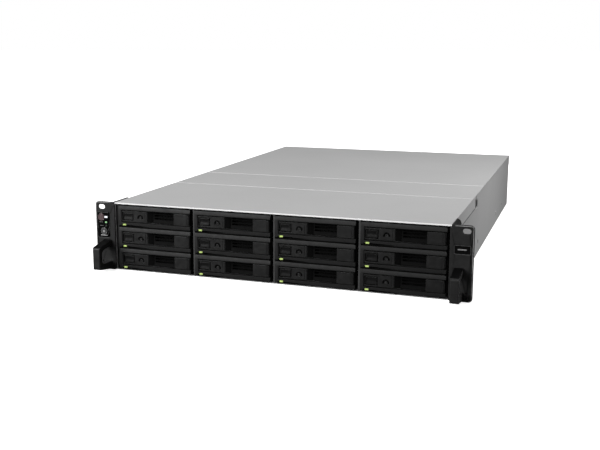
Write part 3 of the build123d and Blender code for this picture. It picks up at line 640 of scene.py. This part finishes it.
shared = None
for n in range(1, 13):
    if shared is None:
        o = build("vent_%02d" % n, vent_plate, M["grille"], "tray_%02d" % n, loc=TRAY_AT[n])
        shared = o.data
    else:
        add("vent_%02d" % n, shared, M["grille"], "tray_%02d" % n, TRAY_AT[n])

def painted_shade_sheet(bm):
    """Near-black sheet behind the grille: painted shade that closes off the view into the tray."""
    bm_box(bm, (0.0468, 0.0090, 0.0081), (0.0912, 0.0094, 0.0190))


shared = None
for n in range(1, 13):
    if shared is None:
        shared = build("dust_filter_%02d" % n, painted_shade_sheet, M["grille"], "tray_%02d" % n, loc=TRAY_AT[n]).data
    else:
        add("dust_filter_%02d" % n, shared, M["grille"], "tray_%02d" % n, TRAY_AT[n])


def halo(bm):
    """Narrow band of the bezel lit up around the light pipe."""
    frame_rim(bm, 0.0094, 0.0027, 0.0021, 0.00095, 0.0008, 0.00045, -0.0020, 0.00006)


shared = None
for n in range(1, 13):
    if shared is None:
        shared = build("light_halo_%02d" % n, halo, M["halo"], "tray_%02d" % n, loc=TRAY_AT[n]).data
    else:
        add("light_halo_%02d" % n, shared, M["halo"], "tray_%02d" % n, TRAY_AT[n])


def hinge_rib(bm):
    """Raised line along the hinge barrel of the lever."""
    bm_box(bm, (0.09815, -0.00098, 0.0072), (0.09900, -0.00035, 0.0197))


shared = None
for n in range(1, 13):
    if shared is None:
        o = build("hinge_rib_%02d" % n, hinge_rib, M["bezel"], "lever_%02d" % n, 0.00015, 2, loc=TRAY_AT[n])
        shared = o.data
    else:
        finish_mesh(add("hinge_rib_%02d" % n, shared, M["bezel"], "lever_%02d" % n, TRAY_AT[n]), 0.00015, 2)

# ------------------------------------------------------------------ ear panels and buttons
for s in islands("ear_panels"):
    size, mid = s[3] - s[2], (s[2] + s[3]) / 2
    if mid.x > 0:
        piece("name_plate", s, M["gloss"], "chassis", "ear_panels", 0.0003, 3)
    elif size.x > 0.01:
        piece("control_panel", s, M["gloss"], "chassis", "ear_panels", 0.0003, 3)
    elif size.x > 0.0035:
        piece("lens_power", s, M["led_white"], "chassis", "ear_panels", 0.0002, 2)
    elif mid.z > 0.06:
        piece("lens_status", s, M["led_green"], "chassis", "ear_panels", 0.0002, 2)
    else:
        piece("lens_alert", s, M["led_off"], "chassis", "ear_panels", 0.0002, 2)
keep("power_button", M["cap_red"], 0.0001, 2)
keep("mute_button", M["cap_grey"], 0.0001, 2)
FACE = Y0 - 0.00225              # front plane of the glossy panel


def bars(name, items, material, y=FACE, depth=0.00012):
    """Short raised strokes that stand for printed captions, without lettering."""
    def fn(bm):
        for x, z, w, h in items:
            bm_box(bm, ((x - w / 2) * MM, y - depth, (z - h / 2) * MM), ((x + w / 2) * MM, y + 0.00002, (z + h / 2) * MM))
    return build(name, fn, material, "chassis", 0.00004, 2)


bars("caption_marks", [(-234.9, 61.9, 2.6, 0.5), (-232.0, 61.9, 2.0, 0.5), (-233.6, 57.4, 3.4, 0.5), (-230.9, 57.4, 1.1, 0.5)], M["print"])
bars("caption_mark_wide", [(-229.8, 44.8, 9.4, 1.0)], M["print_hi"])
build("power_ring", lambda bm: bm_ring(bm, (-0.2332, FACE - 0.0001, 0.0684), 0.00475, 0.0043, 0.0005, n=48), M["ring_red"], "chassis", 0.0001, 2)
build("mute_ring", lambda bm: bm_ring(bm, (-0.2297, FACE - 0.0001, 0.0502), 0.0046, 0.0040, 0.0005, n=48), M["ring_grey"], "chassis", 0.0001, 2)
build("plate_rim", lambda bm: frame_rim(bm, 0.2282, 0.0604, 0.0094, 0.0052, 0.0019, 0.0004, Y0 - 0.0020, 0.0003), M["rim"], "chassis", 0.00008, 2)
bars("plate_mark", [(228.0, 60.8, 10.4, 1.5)], M["print"], Y0 - 0.0022)
build("mute_dot", lambda bm: bm_cyl(bm, (-0.2297, Y0 - 0.00287, 0.0502), 0.00125, 0.0002, "Y", 24), M["print_hi"], "mute_key", 0.00005, 2)
build("power_dot", lambda bm: bm_ring(bm, (-0.2332, Y0 - 0.00266, 0.0684), 0.0021, 0.0016, 0.0003, n=32), M["ring_red"], "power_key", 0.00005, 2)

# ------------------------------------------------------------------ rail holes: a pressed rim outside in a lighter grey that paints its highlight, and a near-black collar and cup inside that paint the shade in the hole
for n, sx in (("left", -1), ("right", 1)):
    for i, y in enumerate((242.0, 463.5, 553.5)):
        at = (sx * 0.21525, Y0 + y * MM, 0.0182)
        build("rail_rim_%s_%d" % (n, i + 1), lambda bm: bm_ring(bm, (sx * 0.0002, 0, 0), 0.0035, 0.0026, 0.0009, "X", 40), M["pan_light"], "chassis", 0.00015, 2, loc=at)
        build("rail_collar_%s_%d" % (n, i + 1), lambda bm: bm_ring(bm, (sx * 0.00015, 0, 0), 0.00262, 0.00206, 0.0009, "X", 40), M["scoop"], "chassis", 0.0001, 2, loc=at)
        build("rail_cup_%s_%d" % (n, i + 1), lambda bm: bm_cyl(bm, (-sx * 0.0011, 0, 0), 0.00208, 0.0011, "X", 32), M["scoop"], "chassis", 0.0002, 2, loc=at)
# near-black strip under the front lid's flange, a painted shadow line, and a near-black lining inside the notch behind
# it, painted shade
def flange_painted_shadow(bm):
    for sx in (-1, 1):
        a, b = sorted((sx * 0.21470, sx * 0.21528))
        bm_box(bm, (a, Y0 + 0.0725, 0.0709), (b, Y0 + 0.2018, 0.07156))
        a, b = sorted((sx * 0.2126, sx * 0.21395))
        bm_box(bm, (a, Y0 + 0.2010, 0.0700), (b, Y0 + 0.2135, 0.0825))


build("flange_painted_shadow", flange_painted_shadow, M["scoop"], "chassis", 0.00004, 1)


# beside the notch: a near-black patch that paints shade, in a lighter grey frame that paints highlight rims
def notch_painted_shade(bm):
    for sx in (-1, 1):
        a, b = sorted((sx * 0.21515, sx * 0.21545))
        bm_box(bm, (a, Y0 + 0.2132, 0.0722), (b, Y0 + 0.2212, 0.0806))


def notch_painted_highlight(bm):
    for sx in (-1, 1):
        a, b = sorted((sx * 0.21515, sx * 0.21580))
        bm_box(bm, (a, Y0 + 0.2214, 0.0692), (b, Y0 + 0.2238, 0.0826))
        bm_box(bm, (a, Y0 + 0.2024, 0.0691), (b, Y0 + 0.2213, 0.0703))


build("notch_painted_shade", notch_painted_shade, M["scoop"], "chassis", 0.0001, 2)
build("notch_painted_highlight", notch_painted_highlight, M["pan_light"], "chassis", 0.0002, 2)

# ------------------------------------------------------------------ fans
for i, s in enumerate(islands("fan_frames")):
    size = s[3] - s[2]
    if size.x > 0.2:
        piece("fan_wall", s, M["steel"], "chassis", "fan_frames", 0.0002, 1)
    elif size.x > 0.05:
        piece("fan_frame_%d" % i, s, M["rubber"], "chassis", "fan_frames", 0.0005, 2)
    else:
        piece("fan_rail_%d" % i, s, M["steel"], "chassis", "fan_frames", 0.0002, 1)
for i in (1, 2, 3):
    keep("fan_rotor_%d" % i, M["rubber"], 0.0002, 1)

# ------------------------------------------------------------------ boards
for i, s in enumerate(islands("backplane")):
    size = s[3] - s[2]
    big = size.x > 0.2
    piece("backplane_%d" % i, s, M["mask"] if big else M["rubber"], "chassis", "backplane", 0.0001 if big else 0.0003, 1)
for i, s in enumerate(islands("main_board")):
    size = s[3] - s[2]
    if size.x > 0.2:
        m, b = M["mask"], 0.0001
    elif size.y > 0.12 and size.z > 0.02:
        m, b = M["mask"], 0.0002
    elif size.y > 0.12:
        m, b = M["chip"], 0.0004
    elif size.z < 0.0075 and s[3].z < 0.009:
        m, b = M["brass"], 0.0002
    elif abs(size.x - size.y) < 0.0003 and size.x < 0.0065:
        m, b = M["bright"], 0.0004
    elif abs(size.x - size.y) < 0.0003 and abs(size.x - 0.02) < 0.0003:
        m, b = M["bright"], 0.0005
    else:
        m, b = M["chip"], 0.0004
    piece("board_part_%02d" % i, s, m, "chassis", "main_board", b, 2)
for i, s in enumerate(islands("cpu_heatsink")):
    size = s[3] - s[2]
    piece("heatsink_%d" % i, s, M["fin"] if size.x > 0.03 else M["bright"], "chassis", "cpu_heatsink", 0.0002, 1)

# ------------------------------------------------------------------ rear
for i, s in enumerate(islands("io_ports")):
    piece("port_shell_%d" % i, s, M["steel"], "chassis", "io_ports", 0.0003, 2)
for k in (1, 2):
    node = "power_supply_%d" % k
    for i, s in enumerate(islands(node)):
        size = s[3] - s[2]
        if size.x > 0.06:
            m, b = M["steel"], 0.0005
        elif size.x > 0.02:
            m, b = M["rubber"], 0.0005
        elif size.z < 0.006:
            m, b = M["bright"], 0.0002
        else:
            m, b = M["rubber"], 0.001
        piece("supply_%d_part_%d" % (k, i), s, m, "supply_%d" % k, node, b, 2)
    keep("supply_latch_%d" % k, M["green"], 0.0003, 2)
MOUTH = Y0 + 0.663


def lan_contacts(bm):
    """Eight sprung contacts of a network socket, on a sloping comb."""
    for i in range(8):
        x = (-3.57 + i * 1.02) * MM
        bm_tube(bm, [(x, -0.0020, 0.0025), (x, -0.0060, 0.0032), (x, -0.0115, 0.0056), (x, -0.0142, 0.0060)], 0.00022, 6)


def lan_lamps(bm):
    for sx in (-1, 1):
        bm_box(bm, ((sx * 4.9 - 1.35) * MM, -0.0040, 0.01165), ((sx * 4.9 + 1.35) * MM, 0.00015, 0.01305))


shared, lamps = None, None
for i in range(4):
    at = ((-41.0 + 18.5 * i) * MM, MOUTH, 0.0097)
    if shared is None:
        shared = build("lan_contacts_1", lan_contacts, M["brass"], "chassis", loc=at).data
        lamps = build("lan_lamps_1", lan_lamps, M["lamp_dull"], "chassis", 0.00015, 2, loc=at).data
    else:
        add("lan_contacts_%d" % (i + 1), shared, M["brass"], "chassis", at)
        finish_mesh(add("lan_lamps_%d" % (i + 1), lamps, M["lamp_dull"], "chassis", at), 0.00015, 2)


def usb_tongue(bm):
    bm_box(bm, (-0.0056, -0.0128, 0.0043), (0.0056, -0.0016, 0.0061))


def usb_contacts(bm):
    for i in range(4):
        x = -0.0036 + i * 0.0024
        bm_box(bm, (x - 0.0005, -0.0110, 0.00415), (x + 0.0005, -0.0024, 0.00432))


for i, x in enumerate((40.5, 58.5)):
    at = (x * MM, MOUTH, 0.0097)
    build("usb_tongue_%d" % (i + 1), usb_tongue, M["blue"], "chassis", 0.0003, 2, loc=at)
    build("usb_contacts_%d" % (i + 1), usb_contacts, M["brass"], "chassis", 0.00005, 1, loc=at)


def sas_tongue(bm):
    bm_box(bm, (-0.0085, -0.0138, 0.0044), (0.0085, -0.0030, 0.0056))


def sas_contacts(bm):
    for i in range(13):
        x = -0.0072 + i * 0.0012
        bm_box(bm, (x - 0.00028, -0.0120, 0.0055), (x + 0.00028, -0.0034, 0.00568))


for i, x in enumerate((80.5, 107.5)):
    at = (x * MM, MOUTH, 0.0097)
    build("expansion_tongue_%d" % (i + 1), sas_tongue, M["rubber"], "chassis", 0.0003, 2, loc=at)
    build("expansion_contacts_%d" % (i + 1), sas_contacts, M["brass"], "chassis", 0.00004, 1, loc=at)


def fan_guard(bm):
    """Round wire guard: three rings on a cross, with four feet."""
    for r in (5.2, 9.4, 13.4):
        bm_tube(bm, [(r * MM * math.cos(2 * math.pi * a / 40), 0.0012, r * MM * math.sin(2 * math.pi * a / 40)) for a in range(40)], 0.00055, 8, closed=True)
    for a in (45, 135):
        c, q = math.cos(math.radians(a)), math.sin(math.radians(a))
        bm_tube(bm, [(-16.6 * MM * c, 0.0004, -16.6 * MM * q), (-15.2 * MM * c, 0.0004, -15.2 * MM * q), (-14.2 * MM * c, 0.0018, -14.2 * MM * q),
                     (14.2 * MM * c, 0.0018, 14.2 * MM * q), (15.2 * MM * c, 0.0004, 15.2 * MM * q), (16.6 * MM * c, 0.0004, 16.6 * MM * q)], 0.00055, 8)


def guard_screws(bm):
    for a in (45, 135, 225, 315):
        c, q = math.cos(math.radians(a)), math.sin(math.radians(a))
        bm_cyl(bm, (16.6 * MM * c, 0.0009, 16.6 * MM * q), 0.0019, 0.0016, "Y", 20)


for k, x0 in ((1, -211.5), (2, -136.5)):
    at = ((x0 + 50.5) * MM, Y0 + 0.6635, 0.02175)
    build("fan_guard_%d" % k, fan_guard, M["bright"], "supply_%d" % k, loc=at)
    build("guard_screws_%d" % k, guard_screws, M["bright"], "supply_%d" % k, 0.0003, 2, loc=at)
    build("supply_lamp_%d" % k, lambda bm: bm_cyl(bm, (0, 0.0002, 0), 0.0015, 0.0012, "Y", 20), M["led_green"], "supply_%d" % k, 0.0002, 2,
          loc=((x0 + 19.0) * MM, Y0 + 0.6635, 0.0362))

for i, s in enumerate(islands("fasteners")):
    mid = (s[2] + s[3]) / 2
    piece("screw_%02d" % i, s, M["bright"] if mid.y > 0.2 else M["rubber"], "chassis", "fasteners", 0.0003, 2)
